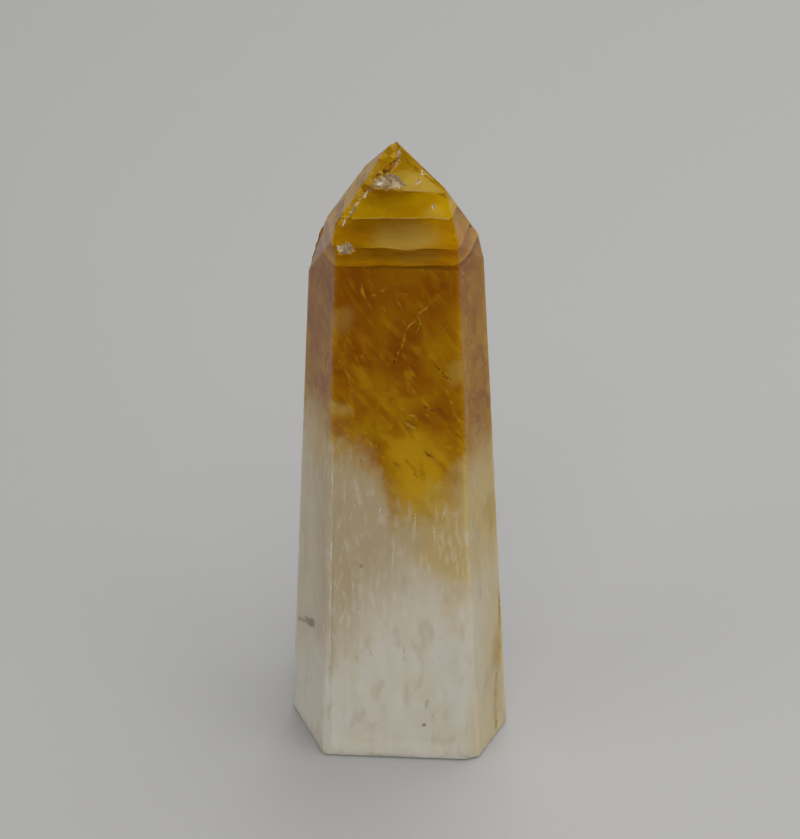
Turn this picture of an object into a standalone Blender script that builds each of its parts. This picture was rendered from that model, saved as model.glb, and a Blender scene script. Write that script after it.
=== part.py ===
"""A golden healer quartz point: one crystal, cut and polished as a six-sided tapering tower.

It stands on its flat foot at the origin, with +Z up and its widest face turned to -Y.
The block is ground facet by facet, as a cutter works it, and its edges are then eased.
Old damage is broken out last: the splintered ridge under the tip, its shoulder, and small nicks.
"""

import math
import random

import bmesh
import bpy
from mathutils import Matrix, Vector

NODE = "quartz_point"
MM = 0.001

# The rough block that it is ground from, big enough to hold every facet.
BLOCK_WIDTH = 60.0 * MM
BLOCK_HEIGHT = 110.0 * MM

# Side facets: compass bearing of the face (degrees from +X), lean towards the axis (degrees),
# and distance from the axis at the foot.
SIDE_FACETS = {
    "front": (-90.0, 2.03, 11.35 * MM),
    "front left": (-153.0, 2.53, 14.86 * MM),
    "front right": (-24.6, 3.27, 15.91 * MM),
    "back right": (23.7, 3.15, 14.58 * MM),
    "back": (88.4, 2.31, 11.06 * MM),
    "back left": (150.1, 2.62, 14.51 * MM),
}

# Narrow flats where the wheel took off the two front corners of the tower, widest at the foot.
CORNER_FLATS = {
    "right corner": (-66.5, 2.06, 14.65 * MM),
    "left corner": (-117.5, 2.24, 14.89 * MM),
}

# Tip facets: compass bearing, steepness from level (degrees), and the height at which the face
# would cross the axis.
TIP_FACETS = {
    "front tip": (-93.2, 60.3, 101.49 * MM),
    "left tip": (178.3, 53.5, 100.67 * MM),
    "back left tip": (148.7, 64.3, 105.78 * MM),
    "back tip": (92.4, 55.8, 98.75 * MM),
    "back right tip": (36.2, 56.3, 98.65 * MM),
    "right tip": (-8.9, 68.4, 112.13 * MM),
    "left shoulder": (-172.5, 71.2, 116.03 * MM),
}

# Polishing eases each sharp edge by this much, and bevels the rim of the foot.
EDGE_EASE = 0.16 * MM
FOOT_BEVEL = 0.42 * MM
SHORTEST_EDGE = 0.10 * MM  # corners closer than this are ground to one point

# Points on the crystal that its damage is placed by.
TIP = Vector((-0.5, -0.85, 100.0)) * MM
RIDGE_FOOT = Vector((-8.2, -6.25, 89.8)) * MM  # the ridge between the front and left tip facets
LEFT_CORNER = Vector((-12.66, -0.18, 79.2)) * MM  # the top of the left edge, under the shoulder
SHOULDER_TOP = Vector((-10.1, 0.85, 86.9)) * MM
TIP_CORNER = Vector((-4.8, 3.05, 94.1)) * MM  # where the left edge of the tip bends

# How a flake breaks: how finely its ball is divided, and how lumpy it is as a share of its bite.
SHELL = (3, 0.22)
HACKLE = (2, 0.55)
SPLINTER = (1, 0.90)

RIDGE_OUT = Vector((-0.45, -0.72, 0.52))
LEFT_OUT = Vector((-0.86, 0.22, 0.45))
FRONT_OUT = Vector((-0.04, -0.87, 0.50))


def clear_scene():
    for item in list(bpy.data.objects):
        bpy.data.objects.remove(item)


def new_collection(name, parent):
    collection = bpy.data.collections.new(name)
    parent.children.link(collection)
    return collection


def quartz_material():
    """Polished quartz, stained honey gold by iron."""
    material = bpy.data.materials.new("golden_quartz")
    material.use_nodes = True
    shader = material.node_tree.nodes["Principled BSDF"]
    shader.inputs["Base Color"].default_value = (0.62, 0.42, 0.14, 1.0)
    shader.inputs["Roughness"].default_value = 0.08
    shader.inputs["Metallic"].default_value = 0.0
    shader.inputs["IOR"].default_value = 1.54
    return material


def facing(bearing, lift):
    """The direction that a face with this bearing and lift above level looks along."""
    flat = math.cos(math.radians(lift))
    turn = math.radians(bearing)
    return Vector((math.cos(turn) * flat, math.sin(turn) * flat, math.sin(math.radians(lift))))


def grind(bm, point, normal):
    """Takes off everything beyond the plane and leaves one flat face there."""
    cut = bmesh.ops.bisect_plane(
        bm,
        geom=bm.verts[:] + bm.edges[:] + bm.faces[:],
        dist=0.001 * MM,
        plane_co=point,
        plane_no=normal,
        clear_outer=True,
    )
    rim = [item for item in cut["geom_cut"] if isinstance(item, bmesh.types.BMEdge)]
    if rim:
        bmesh.ops.contextual_create(bm, geom=rim)


def grind_sides(bm):
    for bearing, lean, reach in (*SIDE_FACETS.values(), *CORNER_FLATS.values()):
        outward = facing(bearing, 0.0)
        grind(bm, outward * reach, facing(bearing, lean))


def grind_tip(bm):
    for bearing, steepness, crossing in TIP_FACETS.values():
        grind(bm, Vector((0.0, 0.0, crossing)), facing(bearing, 90.0 - steepness))


def ease(bm, edges, width, segments):
    bmesh.ops.bevel(
        bm,
        geom=edges,
        offset=width,
        offset_type="OFFSET",
        segments=segments,
        profile=0.5,
        affect="EDGES",
        clamp_overlap=True,
        material=-1,
    )


def polish_edges(bm):
    bmesh.ops.remove_doubles(bm, verts=bm.verts[:], dist=SHORTEST_EDGE)
    foot = [edge for edge in bm.edges if all(v.co.z < SHORTEST_EDGE for v in edge.verts)]
    ease(bm, foot, FOOT_BEVEL, 1)
    upper = [edge for edge in bm.edges if max(v.co.z for v in edge.verts) > 2 * FOOT_BEVEL]
    ease(bm, upper, EDGE_EASE, 2)


def ground_crystal(collection):
    """The whole tower as cut and polished, before any of it was chipped."""
    bm = bmesh.new()
    bmesh.ops.create_cube(
        bm, size=1.0, matrix=Matrix.Diagonal((BLOCK_WIDTH, BLOCK_WIDTH, 2 * BLOCK_HEIGHT, 1.0))
    )
    grind(bm, Vector((0.0, 0.0, 0.0)), Vector((0.0, 0.0, -1.0)))
    grind_sides(bm)
    grind_tip(bm)
    polish_edges(bm)
    bmesh.ops.recalc_face_normals(bm, faces=bm.faces[:])
    mesh = bpy.data.meshes.new(NODE)
    bm.to_mesh(mesh)
    bm.free()
    crystal = bpy.data.objects.new(NODE, mesh)
    crystal.data.materials.append(quartz_material())
    collection.objects.link(crystal)
    return crystal


def scoop(name, collection, at, outward, radius, bite, rng, finish=SHELL):
    """A lumpy ball that takes one flake, bite deep, out of the surface at a point.

    A fine ball leaves a smooth shell-shaped hollow, and a coarse one leaves sharp splintered steps.
    """
    bm = bmesh.new()
    subdivisions, lumps = finish
    bmesh.ops.create_icosphere(bm, subdivisions=subdivisions, radius=radius)
    for vert in bm.verts:
        vert.co *= 1.0 + rng.uniform(-lumps, lumps) * bite / radius
    turn = Matrix.Rotation(rng.uniform(0.0, math.tau), 4, outward.orthogonal())
    centre = at + outward.normalized() * (radius - bite)
    bmesh.ops.transform(bm, matrix=Matrix.Translation(centre) @ turn, verts=bm.verts[:])
    mesh = bpy.data.meshes.new(name)
    bm.to_mesh(mesh)
    bm.free()
    tool = bpy.data.objects.new(name, mesh)
    tool.hide_render = True
    tool.display_type = "WIRE"
    collection.objects.link(tool)


def break_out(crystal, collection):
    """Takes all the flakes of one damaged place out of the crystal."""
    chip = crystal.modifiers.new(collection.name, "BOOLEAN")
    chip.operation = "DIFFERENCE"
    chip.solver = "EXACT"
    chip.operand_type = "COLLECTION"
    chip.collection = collection


def chip_line(
    crystal, tools, name, start, end, outward, radius, bite, count, wander, seed, finish=SHELL
):
    """Flakes broken out one after another along an edge."""
    rng = random.Random(seed)
    group = new_collection(name, tools)
    for i in range(count):
        along = (i + rng.uniform(0.2, 0.8)) / count
        place = start.lerp(end, along)
        place += Vector(rng.uniform(-wander, wander) for _ in range(3))
        size = rng.uniform(0.6, 1.4)
        scoop(f"{name}_{i}", group, place, outward, radius * size, bite * size, rng, finish)
    break_out(crystal, group)


def chip_patch(
    crystal, tools, name, centre, outward, spread, radius, bite, count, seed, finish=SPLINTER
):
    """A splintered patch: many small flakes close together on one face."""
    rng = random.Random(seed)
    group = new_collection(name, tools)
    across = outward.orthogonal().normalized()
    for i in range(count):
        turn = Matrix.Rotation(rng.uniform(0.0, math.tau), 3, outward)
        place = centre + turn @ across * spread * math.sqrt(rng.random())
        size = rng.uniform(0.6, 1.4)
        scoop(f"{name}_{i}", group, place, outward, radius * size, bite * size, rng, finish)
    break_out(crystal, group)


def break_ridge(crystal, tools):
    """The ridge from the left shoulder to the tip is splintered along its whole length."""
    chip_line(
        crystal, tools, "ridge_chips", RIDGE_FOOT, RIDGE_FOOT.lerp(TIP, 0.45), RIDGE_OUT,
        0.9 * MM, 0.42 * MM, 16, 0.15 * MM, 5, HACKLE,
    )
    chip_line(
        crystal, tools, "upper_ridge_flakes", RIDGE_FOOT.lerp(TIP, 0.42), RIDGE_FOOT.lerp(TIP, 0.86),
        RIDGE_OUT, 3.0 * MM, 0.95 * MM, 4, 0.10 * MM, 11,
    )
    chip_line(
        crystal, tools, "upper_ridge_splinters", Vector((-4.4, -4.5, 93.3)) * MM,
        Vector((-0.6, -1.9, 98.0)) * MM, FRONT_OUT, 0.6 * MM, 0.24 * MM, 9, 0.15 * MM, 2, SPLINTER,
    )
    chip_patch(
        crystal, tools, "splintered_patch", Vector((-2.3, -3.55, 94.9)) * MM, FRONT_OUT,
        1.15 * MM, 0.75 * MM, 0.30 * MM, 14, 3,
    )
    chip_line(
        crystal, tools, "tip_face_flake", Vector((-1.2, -3.6, 95.3)) * MM,
        Vector((0.3, -3.8, 94.9)) * MM, FRONT_OUT, 2.0 * MM, 0.28 * MM, 4, 0.15 * MM, 13, HACKLE,
    )
    chip_patch(
        crystal, tools, "tip_pits", Vector((-0.2, -1.35, 99.0)) * MM, FRONT_OUT,
        0.65 * MM, 0.40 * MM, 0.16 * MM, 6, 8,
    )


def break_shoulders(crystal, tools):
    """The left shoulder lost its edge, and the front one was bruised where the ridge meets it."""
    chip_line(
        crystal, tools, "left_shoulder_chips", LEFT_CORNER, SHOULDER_TOP, LEFT_OUT,
        1.2 * MM, 0.24 * MM, 10, 0.15 * MM, 21,
    )
    chip_line(
        crystal, tools, "left_edge_chips", SHOULDER_TOP, TIP_CORNER, LEFT_OUT,
        0.8 * MM, 0.12 * MM, 6, 0.10 * MM, 4,
    )
    chip_patch(
        crystal, tools, "tip_edge_flake", TIP_CORNER, Vector((-0.7, 0.35, 0.62)),
        0.55 * MM, 0.65 * MM, 0.20 * MM, 4, 17,
    )
    chip_line(
        crystal, tools, "front_shoulder_bruise", Vector((-7.3, -8.1, 86.7)) * MM,
        Vector((-4.9, -8.05, 87.1)) * MM, FRONT_OUT, 0.9 * MM, 0.24 * MM, 7, 0.25 * MM, 29,
        SPLINTER,
    )


def nick_edges(crystal, tools):
    """Small knocks on the long edges and the rim of the foot."""
    rng = random.Random(41)
    group = new_collection("edge_nicks", tools)
    nicks = (
        ("right_edge_nick", (12.55, -1.7, 68.6), (1.0, -0.1, 0.0), 0.55, 0.16),
        ("left_corner_nick", (-10.65, -10.6, 15.8), (-0.5, -0.86, 0.0), 1.3, 0.13),
        ("left_face_pit", (-15.2, -1.05, 18.6), (-0.9, -0.45, 0.0), 0.7, 0.11),
        ("left_face_pit_end", (-13.0, -5.05, 20.6), (-0.9, -0.45, 0.0), 0.6, 0.10),
        ("left_edge_nick", (-13.05, -0.15, 71.5), (-1.0, 0.1, 0.1), 0.9, 0.14),
        ("right_corner_nick", (8.35, -8.2, 85.4), (0.5, -0.85, 0.1), 0.7, 0.12),
        ("back_left_nick", (-9.2, 10.25, 30.0), (-0.5, 0.85, 0.0), 1.0, 0.15),
        ("back_right_nick", (9.4, 9.15, 52.0), (0.6, 0.8, 0.0), 0.9, 0.14),
        ("back_tip_nick", (3.3, 7.35, 88.0), (0.3, 0.85, 0.4), 0.9, 0.18),
        ("foot_nick_left", (-16.5, 0.1, 0.2), (-0.9, 0.1, -0.4), 0.8, 0.15),
        ("foot_nick_back", (2.0, 11.05, 0.2), (0.0, 0.9, -0.4), 1.1, 0.14),
    )
    for name, place, outward, radius, bite in nicks:
        scoop(name, group, Vector(place) * MM, Vector(outward), radius * MM, bite * MM, rng)
    break_out(crystal, group)


def build():
    clear_scene()
    root = bpy.context.scene.collection
    crystal = ground_crystal(new_collection("golden_healer_quartz_point", root))
    tools = new_collection("cutters", root)
    break_ridge(crystal, tools)
    break_shoulders(crystal, tools)
    nick_edges(crystal, tools)


build()
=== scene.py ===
"""Golden healer quartz point: one polished crystal, with the stain, cloud and cracks inside it."""

import math
import random

import bmesh
import bpy
from mathutils import Matrix, Vector, noise
from mathutils.bvhtree import BVHTree


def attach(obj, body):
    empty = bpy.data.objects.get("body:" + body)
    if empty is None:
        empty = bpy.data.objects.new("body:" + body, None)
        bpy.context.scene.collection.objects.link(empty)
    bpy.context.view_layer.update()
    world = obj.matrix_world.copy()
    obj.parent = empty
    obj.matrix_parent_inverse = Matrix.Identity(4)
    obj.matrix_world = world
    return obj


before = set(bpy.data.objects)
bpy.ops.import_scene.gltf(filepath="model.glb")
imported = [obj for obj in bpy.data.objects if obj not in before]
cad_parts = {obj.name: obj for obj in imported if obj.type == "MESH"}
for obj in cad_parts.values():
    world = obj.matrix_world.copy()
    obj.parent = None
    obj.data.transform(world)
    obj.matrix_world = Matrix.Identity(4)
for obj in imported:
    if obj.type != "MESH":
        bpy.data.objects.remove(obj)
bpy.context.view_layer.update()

MM = 0.001


# ---------------------------------------------------------------------------------------------
# The skin of the crystal: the whole tower, cut from clear quartz on a grinding wheel and
# polished to a wet shine. It is one see-through solid, tinted honey by iron towards the tip.

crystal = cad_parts["quartz_point"]

QUARTZ_IOR = 1.544
POLISH = 0.02
MIRROR_TINT = (0.80, 0.52, 0.04, 1.0)
CLEAR_QUARTZ = (0.985, 0.975, 0.95, 1.0)
HONEY_QUARTZ = (0.93, 0.80, 0.50, 1.0)
HONEY_SPAN = (52.0 * MM, 82.0 * MM)  # the heights where the honey tint starts and is full
HONEY_GRAIN = 120.0  # lumps to the metre
HONEY_SWAY = 16.0 * MM


def put(tree, kind, inputs=None, **settings):
    """Adds a node; inputs are plain values, or the sockets that feed them."""
    made = tree.nodes.new(kind)
    for name, value in settings.items():
        setattr(made, name, value)
    for name, value in (inputs or {}).items():
        if isinstance(value, bpy.types.NodeSocket):
            tree.links.new(value, made.inputs[name])
        else:
            made.inputs[name].default_value = value
    return made


def new_material(name):
    """A material with only its Principled shader and output, and the tree to build on."""
    material = bpy.data.materials.new(name)
    material.use_nodes = True
    tree = material.node_tree
    return material, tree, tree.nodes["Principled BSDF"]


def object_places(tree):
    """Places on the object, in metres."""
    return put(tree, "ShaderNodeTexCoord").outputs["Object"]


def axes_of(tree, places):
    """The X, Y and Z of places."""
    return put(tree, "ShaderNodeSeparateXYZ", {"Vector": places}).outputs


def lumps(tree, places, per_metre, detail=3.0, roughness=0.5):
    """Soft 3-D noise with so many lumps to the metre."""
    made = put(
        tree, "ShaderNodeTexNoise",
        {"Vector": places, "Scale": per_metre, "Detail": detail, "Roughness": roughness},
    )
    return made.outputs["Fac"]


def spread(tree, value, low, high, to_low=0.0, to_high=1.0):
    """Carries low..high of a value smoothly to to_low..to_high."""
    made = put(
        tree, "ShaderNodeMapRange",
        {"Value": value, "From Min": low, "From Max": high, "To Min": to_low, "To Max": to_high},
        interpolation_type="SMOOTHSTEP",
    )
    return made.outputs["Result"]


def reckon(tree, operation, *values):
    """One step of arithmetic on sockets and numbers."""
    made = put(tree, "ShaderNodeMath", dict(enumerate(values)), operation=operation)
    return made.outputs[0]


def swayed(tree, value, wave, amount):
    """A value with so much of a wave added to it."""
    return reckon(tree, "MULTIPLY_ADD", wave, amount, value)


def blend(tree, share, below, above):
    """Mixes two colours by a share of 0 to 1."""
    made = put(tree, "ShaderNodeMix", {0: share, 6: below, 7: above}, data_type="RGBA")
    return made.outputs[2]


def polished_quartz():
    material, tree, shader = new_material("polished_quartz")
    places = object_places(tree)
    height = axes_of(tree, places)["Z"]
    level = swayed(tree, height, lumps(tree, places, HONEY_GRAIN), HONEY_SWAY)
    stain = spread(tree, level, *HONEY_SPAN)
    tree.links.new(blend(tree, stain, CLEAR_QUARTZ, HONEY_QUARTZ), shader.inputs["Base Color"])
    shader.inputs["Transmission Weight"].default_value = 1.0
    shader.inputs["IOR"].default_value = QUARTZ_IOR
    shader.inputs["Roughness"].default_value = POLISH
    shader.inputs["Specular Tint"].default_value = MIRROR_TINT
    return material


crystal.data.materials.clear()
crystal.data.materials.append(polished_quartz())


# ---------------------------------------------------------------------------------------------
# The cloud inside: quartz made milky by countless tiny bubbles, which fills the tower to a
# millimetre or so under its polished faces. Iron has soaked its upper half golden brown.

wall = bmesh.new()
wall.from_mesh(crystal.data)
bmesh.ops.remove_doubles(wall, verts=wall.verts[:], dist=0.0001 * MM)
wall_faces = BVHTree.FromBMesh(wall)
wall.free()

CORE_AXIS = Vector((-0.3, -0.5, 0.0)) * MM
UNDER_WALL = 0.02 * MM  # nothing inside comes nearer to the wall
ROUGH_RADIUS = 5.0 * MM  # of the plain cylinder that a shell starts as
SHELL_WAVES = (
    # strength, and width along each axis (mm)
    (1.0, (8.0, 8.0, 14.0)),
    (0.5, (3.2, 3.2, 6.0)),
    (0.25, (1.3, 1.3, 4.0)),
)
BESIDE = 0.14  # radians to either side, where the wall is felt for a corner
CORNER_FILL = 2.2
LEAST_COVER = 0.28 * MM
LEAST_RADIUS = 0.02 * MM
FOOT_FLARE = 3.0 * MM  # a shell widens towards the foot from this height down


def wall_reach(direction, height):
    """How far the polished wall is from the crystal's axis, level with a height."""
    start = CORE_AXIS + Vector((0.0, 0.0, height))
    place, normal, face, distance = wall_faces.ray_cast(start, direction)
    return distance if place is not None else 0.0


def unrest(place, size):
    """Noise of -1 to 1 at a place; size is its lumps' width along each axis, in mm."""
    return noise.noise(Vector((place.x / size[0], place.y / size[1], place.z / size[2])) / MM)


def waves(place, rows):
    """Noises of several strengths and sizes, added up at a place."""
    total = 0.0
    for strength, size in rows:
        total += strength * unrest(place, size)
    return total


def grow_shell(foot, top, depth, unevenness, sides, rings, flare_gap):
    """A closed shell that follows the polished wall, so deep under it, give or take."""
    bm = bmesh.new()
    bmesh.ops.create_cone(
        bm, cap_ends=True, segments=sides, radius1=ROUGH_RADIUS, radius2=ROUGH_RADIUS,
        depth=top - foot, matrix=Matrix.Translation((0, 0, (top + foot) / 2)),
    )
    uprights = [edge for edge in bm.edges if abs(edge.verts[0].co.z - edge.verts[1].co.z) > MM]
    bmesh.ops.subdivide_edges(bm, edges=uprights, cuts=rings - 1, use_grid_fill=True)
    turns = [Matrix.Rotation(angle, 3, "Z") for angle in (-BESIDE, BESIDE)]
    for vert in bm.verts:
        height = vert.co.z
        outward = Vector((vert.co.x, vert.co.y, 0.0)).normalized()
        on_axis = CORE_AXIS + Vector((0.0, 0.0, height))
        reach = wall_reach(outward, height)
        either_side = [wall_reach(turn @ outward, height) for turn in turns]
        corner = max(0.0, reach - sum(either_side) / 2)
        lump = waves(on_axis + outward * reach, SHELL_WAVES)
        sunk = max(LEAST_COVER, depth + unevenness * lump - CORNER_FILL * corner)
        near_foot = max(0.0, 1.0 - height / FOOT_FLARE) ** 0.5
        sunk += (flare_gap - sunk) * near_foot
        vert.co = on_axis + outward * max(LEAST_RADIUS, reach - sunk)
    bmesh.ops.recalc_face_normals(bm, faces=bm.faces[:])
    return bm


def keep_under_wall(bm):
    """Pulls every corner that reaches the polished wall back under it."""
    for vert in bm.verts:
        place, outward, face, distance = wall_faces.find_nearest(vert.co)
        if (place - vert.co).dot(outward) < UNDER_WALL:
            vert.co = place - outward * UNDER_WALL


def finish_piece(name, bm, material, smooth=True):
    """Turns a bmesh into a piece that rides on the crystal and takes its finish."""
    keep_under_wall(bm)
    mesh = bpy.data.meshes.new(name)
    bm.to_mesh(mesh)
    bm.free()
    mesh.polygons.foreach_set("use_smooth", [smooth] * len(mesh.polygons))
    mesh.materials.append(material)
    piece = bpy.data.objects.new(name, mesh)
    bpy.context.scene.collection.objects.link(piece)
    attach(piece, "root")
    return piece


def moved(tree, places, shift=(0.0, 0.0, 0.0), turn=(0.0, 0.0, 0.0), stretch=(1.0, 1.0, 1.0)):
    """Places shifted, turned (in degrees) and stretched, for patterns that run one way."""
    made = put(
        tree, "ShaderNodeMapping",
        {
            "Vector": places, "Location": shift, "Scale": stretch,
            "Rotation": [math.radians(angle) for angle in turn],
        },
    )
    return made.outputs["Vector"]


def warped(tree, places, per_metre, amount):
    """Places pushed about by noise, so that a pattern on them is never straight."""
    made = put(tree, "ShaderNodeTexNoise", {"Vector": places, "Scale": per_metre, "Detail": 2.0})
    push = put(
        tree, "ShaderNodeVectorMath",
        {0: made.outputs["Color"], 1: (amount, amount, amount), 2: places},
        operation="MULTIPLY_ADD",
    )
    return push.outputs["Vector"]


def loosened(tree, places, per_metre, amount):
    """Places pushed about by noise, and on the whole left where they were."""
    pushed = warped(tree, places, per_metre, amount)
    return moved(tree, pushed, shift=(-amount / 2, -amount / 2, -amount / 2))


def pattern(tree, places, per_metre, detail, low, high, roughness=0.5):
    """Noise that rises from 0 at its low value to 1 at its high one."""
    return spread(tree, lumps(tree, places, per_metre, detail, roughness), low, high)


def times(tree, first, second):
    return reckon(tree, "MULTIPLY", first, second)


PATCH_CORE = 0.35  # the share of a patch that is at full strength


def patch(tree, places, centre, size):
    """A soft round patch: 1 at its centre (mm), fading to 0 at its size (mm)."""
    from_centre = [-place / reach for place, reach in zip(centre, size)]
    ball = moved(tree, places, shift=from_centre, stretch=[1.0 / (reach * MM) for reach in size])
    away = put(tree, "ShaderNodeVectorMath", {0: ball}, operation="LENGTH").outputs["Value"]
    return spread(tree, away, 1.0, PATCH_CORE)


def patched(tree, places, colour, patches):
    """A colour with soft patches of others laid over it, one after another."""
    for centre, size, tone, strength in patches:
        share = times(tree, patch(tree, places, centre, size), strength)
        colour = blend(tree, share, colour, tone)
    return colour


# Noises that several tones share: lumps to the metre, detail and roughness.
DRIFT = (90.0, 4.0)
STREAKS = (460.0, 1.5)
FLEECE = (330.0, 4.0, 0.65)
BEND = (300.0, 1.2 * MM)  # lumps to the metre, and how far places are pushed
LOOSENING = (140.0, 6.0 * MM)
STREAK_STRETCH = (1.0, 1.0, 0.2)  # a smaller Z draws a pattern out upright
FACING_SPAN = (12.0 * MM, 9.5 * MM)  # from the side faces to the front, along X
LEAST_FACING = 0.25

# The stain's lower edge: a step down to the right, and a tongue that hangs at the front.
STAIN_FOOT = 60.4 * MM
SHOULDER_DROP = 4.0 * MM
SHOULDER_SPAN = (-10.0 * MM, -1.0 * MM)
TONGUE_DROP = 9.2 * MM
TONGUE_LEFT = (-3.6 * MM, -0.2 * MM)
TONGUE_RIGHT = (12.0 * MM, 3.0 * MM)
TONGUE_FRONT = (4.0 * MM, -6.0 * MM)
EDGE_SWAYS = {"drift": 10.0 * MM, "streaks": 5.0 * MM, "fleece": 9.0 * MM}
STAIN_SPAN = (-8.0 * MM, 3.0 * MM)  # under and over the edge


def stain_level(tree, axes):
    """Height above the lower edge of the stain, which hangs down in a tongue at the front."""
    left = spread(tree, axes["X"], *TONGUE_LEFT)
    right = spread(tree, axes["X"], *TONGUE_RIGHT)
    front = spread(tree, axes["Y"], *TONGUE_FRONT)
    tongue = times(tree, times(tree, left, right), front)
    shoulder = spread(tree, axes["X"], *SHOULDER_SPAN)
    edge = swayed(tree, STAIN_FOOT, shoulder, -SHOULDER_DROP)
    edge = swayed(tree, edge, tongue, -TONGUE_DROP)
    return reckon(tree, "SUBTRACT", axes["Z"], edge)


def cloud_basis(tree):
    """The places, noises and spans that the stain's edge, the milk and the gold share."""
    places = object_places(tree)
    axes = axes_of(tree, places)
    upright = moved(tree, places, stretch=STREAK_STRETCH)
    off_middle = reckon(tree, "ABSOLUTE", axes["X"])
    return {
        "places": places,
        "bent": warped(tree, places, *BEND),
        "loose": loosened(tree, places, *LOOSENING),
        "x": axes["X"],
        "z": axes["Z"],
        "level": stain_level(tree, axes),
        "facing": spread(tree, off_middle, *FACING_SPAN, LEAST_FACING, 1.0),
        "drift": reckon(tree, "SUBTRACT", lumps(tree, places, *DRIFT), 0.5),
        "streaks": reckon(tree, "SUBTRACT", lumps(tree, upright, *STREAKS), 0.5),
        "fleece": reckon(tree, "SUBTRACT", lumps(tree, places, *FLEECE), 0.5),
    }


def stain_share(tree, cloud):
    """0 in the milk, 1 in the gold, with a ragged border between them."""
    ragged = cloud["level"]
    for wave, amount in EDGE_SWAYS.items():
        ragged = swayed(tree, ragged, cloud[wave], amount)
    return spread(tree, ragged, *STAIN_SPAN)


# The milk: pale quartz that turns olive up the left side, and honey towards the stain.
MILK = (0.92, 0.88, 0.79, 1.0)
BRIGHT_MILK = (0.98, 0.95, 0.90, 1.0)
SHADED_MILK = (0.62, 0.54, 0.38, 1.0)
GREY_MILK = (0.89, 0.84, 0.72, 1.0)
OLIVE_MILK = (0.68, 0.56, 0.35, 1.0)
HONEY_MILK = (0.78, 0.60, 0.24, 1.0)
MILK_PATCHES = (
    # centre, size (mm), colour, strength
    ((13.8, -4.0, 41.5), (2.6, 5.0, 6.0), (0.72, 0.52, 0.16, 1.0), 0.80),
    ((14.9, -4.0, 16.0), (2.2, 4.0, 4.6), (0.70, 0.54, 0.20, 1.0), 0.85),
    ((3.4, -9.0, 47.4), (6.0, 5.0, 5.4), (0.82, 0.62, 0.16, 1.0), 0.80),
    ((-12.5, -5.0, 53.0), (4.0, 5.0, 8.0), HONEY_MILK, 0.50),
)
FLEECE_IN_MILK = 0.7
MILK_SPAN = (-0.13, 0.13)
OLIVE_SLANT = -1.2  # the olive starts higher up to the right
OLIVE_SWAY = 10.0 * MM
OLIVE_SPAN = (21.0 * MM, 43.0 * MM)
OLIVE_STRENGTH = 0.85
LEFT_FACE = (-10.0 * MM, -12.5 * MM)
LEFT_FACE_LOSS = 0.45
MIST_RIGHT = (-1.0 * MM, 13.0 * MM)
MIST_DROP = 26.0 * MM  # the mist reaches so much lower at the right
MIST_RIGHT_SWAY = 12.0 * MM
MIST_SWAY = 8.0 * MM
MIST_SPAN = (-11.0 * MM, 9.0 * MM)
MIST_STRENGTH = 0.85
RIGHT_FACE = (10.0 * MM, 13.5 * MM)
RIGHT_FACE_MIST = 0.62

# Patterns: lumps to the metre, detail, and the noise at which they start and are full.
FEATHERS = (620.0, 2.5, 0.50, 0.78)
FINE_FEATHERS = (1250.0, 1.5, 0.52, 0.72)
PUFFS = (520.0, 3.0, 0.48, 0.74)
SHADES = (400.0, 3.0, 0.46, 0.30)
FEATHER_STRETCH = (1.0, 1.0, 0.24)
PUFF_STRETCH = (1.0, 1.0, 0.6)
SHADE_STRETCH = (1.0, 1.0, 0.45)
COARSE_SHARE = 0.75
FEATHER_STRENGTH = 0.41
SHADE_STRENGTH = 0.32
PUFF_SPAN = (26.0 * MM, 12.0 * MM)  # below this, puffs take the place of feathers
PUFF_SWAY = 16.0 * MM


def milk_ground(tree, cloud):
    """The milk's own tones, from pale to olive and honey, before anything hangs in it."""
    rained = times(tree, cloud["streaks"], cloud["facing"])
    rained = swayed(tree, rained, cloud["fleece"], FLEECE_IN_MILK)
    milk = blend(tree, spread(tree, rained, *MILK_SPAN), GREY_MILK, MILK)

    slant = swayed(tree, cloud["z"], cloud["x"], OLIVE_SLANT)
    slant = swayed(tree, slant, cloud["drift"], OLIVE_SWAY)
    kept = swayed(tree, 1.0, spread(tree, cloud["x"], *LEFT_FACE), -LEFT_FACE_LOSS)
    olive = times(tree, spread(tree, slant, *OLIVE_SPAN), kept)
    milk = blend(tree, times(tree, olive, OLIVE_STRENGTH), milk, OLIVE_MILK)

    right = swayed(tree, cloud["x"], cloud["drift"], MIST_RIGHT_SWAY)
    under = swayed(tree, cloud["level"], spread(tree, right, *MIST_RIGHT), MIST_DROP)
    under = swayed(tree, under, cloud["drift"], MIST_SWAY)
    at_right = times(tree, spread(tree, cloud["x"], *RIGHT_FACE), RIGHT_FACE_MIST)
    mist = reckon(tree, "MAXIMUM", spread(tree, under, *MIST_SPAN), at_right)
    milk = blend(tree, times(tree, mist, MIST_STRENGTH), milk, HONEY_MILK)
    return patched(tree, cloud["loose"], milk, MILK_PATCHES)


def milk_tones(tree, cloud):
    """The milk with bright feathers, puffs low down, and darker gaps between them."""
    hanging = moved(tree, cloud["bent"], stretch=FEATHER_STRETCH)
    coarse = times(tree, pattern(tree, hanging, *FEATHERS), COARSE_SHARE)
    feathers = reckon(tree, "MAXIMUM", coarse, pattern(tree, hanging, *FINE_FEATHERS))
    puffs = pattern(tree, moved(tree, cloud["bent"], stretch=PUFF_STRETCH), *PUFFS)
    low = spread(tree, swayed(tree, cloud["z"], cloud["drift"], PUFF_SWAY), *PUFF_SPAN)
    bright = put(tree, "ShaderNodeMix", {0: low, 2: feathers, 3: puffs}).outputs[0]
    bright = times(tree, bright, times(tree, cloud["facing"], FEATHER_STRENGTH))
    milk = blend(tree, bright, milk_ground(tree, cloud), BRIGHT_MILK)
    gaps = pattern(tree, moved(tree, cloud["bent"], stretch=SHADE_STRETCH), *SHADES)
    return blend(tree, times(tree, gaps, SHADE_STRENGTH), milk, SHADED_MILK)


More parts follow.
